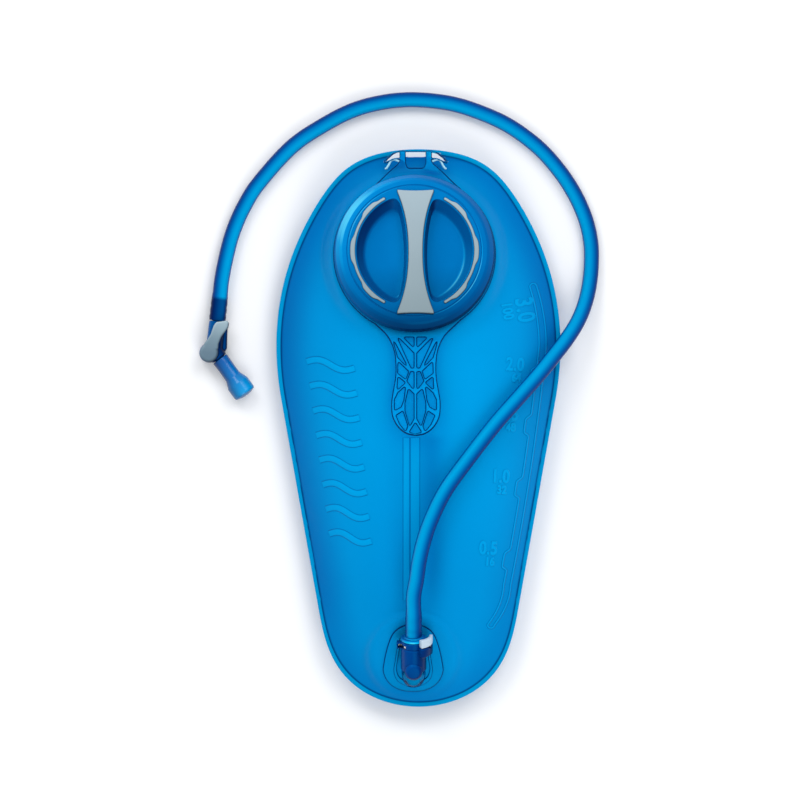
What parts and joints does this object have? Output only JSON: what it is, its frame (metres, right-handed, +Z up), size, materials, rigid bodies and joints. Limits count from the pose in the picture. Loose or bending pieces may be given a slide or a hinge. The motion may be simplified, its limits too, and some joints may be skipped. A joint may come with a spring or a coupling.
{
  "type": "hydration bladder",
  "caption": "Filled soft water reservoir with a screw-lid fill port, moulded carry yoke, quick-link exit port and a drink tube ending in a shut-off bite valve.",
  "frame": {"origin": "centre of the bag's footprint, on the flat of its back", "axes": "+X across the bag, +Y along the bag towards its hanging tab, +Z up from the back through the fill port"},
  "size_m": [0.3025, 0.4638, 0.0752],
  "materials": {
    "film": "translucent blue TPU film",
    "clear_moulding": "translucent blue moulding",
    "deep_blue": "gloss",
    "lid_blue": "gloss",
    "plug_cyan": "gloss",
    "tube": "translucent blue hose",
    "bite_silicone": "satin translucent silicone",
    "grip_grey": "soft touch",
    "button_white": "satin",
    "seal": "matte",
    "steel": "brushed"
  },
  "bodies": {
    "reservoir": {"front_film": "film", "back_film": "film", "baffle_strip": "film", "fill_port_neck": "clear_moulding", "carry_yoke": "clear_moulding", "exit_port_base": "clear_moulding", "quick_link_socket": "deep_blue", "spigot_o_ring": "seal", "poppet_spring": "steel", "button_spring": "steel"},
    "lid_seal": {"lid_gasket": "seal"},
    "lid": {"lid_shell": "lid_blue", "lid_grip_bar": "grip_grey", "lid_grip_arc_left": "grip_grey", "lid_grip_arc_right": "grip_grey"},
    "check_valve": {"check_valve_poppet": "deep_blue", "poppet_seal": "seal"},
    "button": {"release_button": "button_white", "latch_plate": "steel"},
    "hose": {"hose_plug": "plug_cyan", "plug_o_ring": "seal", "delivery_tube": "tube", "valve_body": "deep_blue"},
    "shutoff": {"shutoff_lever": "grip_grey", "shutoff_drum": "deep_blue", "drum_o_ring_upper": "seal", "drum_o_ring_lower": "seal"},
    "mouthpiece": {"bite_valve": "bite_silicone"}
  },
  "joints": [
    {"name": "lid_lift", "type": "slide", "parent": "reservoir", "child": "lid_seal", "axis": [0, 0.1994, 0.9799], "range_m": [0, 0.016]},
    {"name": "lid_turn", "type": "hinge", "parent": "lid_seal", "child": "lid", "pos_m": [-0.003, 0.1293, 0.046], "axis": [0, 0.1994, 0.9799], "range_deg": [0, 360]},
    {"name": "button_press", "type": "slide", "parent": "reservoir", "child": "button", "axis": [-1, 0, 0], "range_m": [0, 0.0016], "stiffness_N_per_m": 300, "springref_m": -0.002, "deforming": ["button_spring"]},
    {"name": "hose_pull", "type": "slide", "parent": "reservoir", "child": "hose", "axis": [0, 0.9397, 0.342], "range_m": [0, 0.02]},
    {"name": "poppet_travel", "type": "slide", "parent": "reservoir", "child": "check_valve", "axis": [0, 0.9397, 0.342], "range_m": [0, 0.0028], "deforming": ["poppet_spring"]},
    {"name": "lever_turn", "type": "hinge", "parent": "hose", "child": "shutoff", "pos_m": [-0.158, 0.0568, 0.0092], "axis": [0, 0, 1], "range_deg": [-75, 0]},
    {"name": "bite_swivel", "type": "hinge", "parent": "hose", "child": "mouthpiece", "pos_m": [-0.1548, 0.0591, 0.0092], "axis": [0.585, -0.811, 0], "continuous": true}
  ],
  "couplings": [
    {"joint": "lid_lift", "follows": "lid_turn", "m_per_rad": 0.002546},
    {"joint": "poppet_travel", "follows": "hose_pull", "ratio": 0.135}
  ]
}
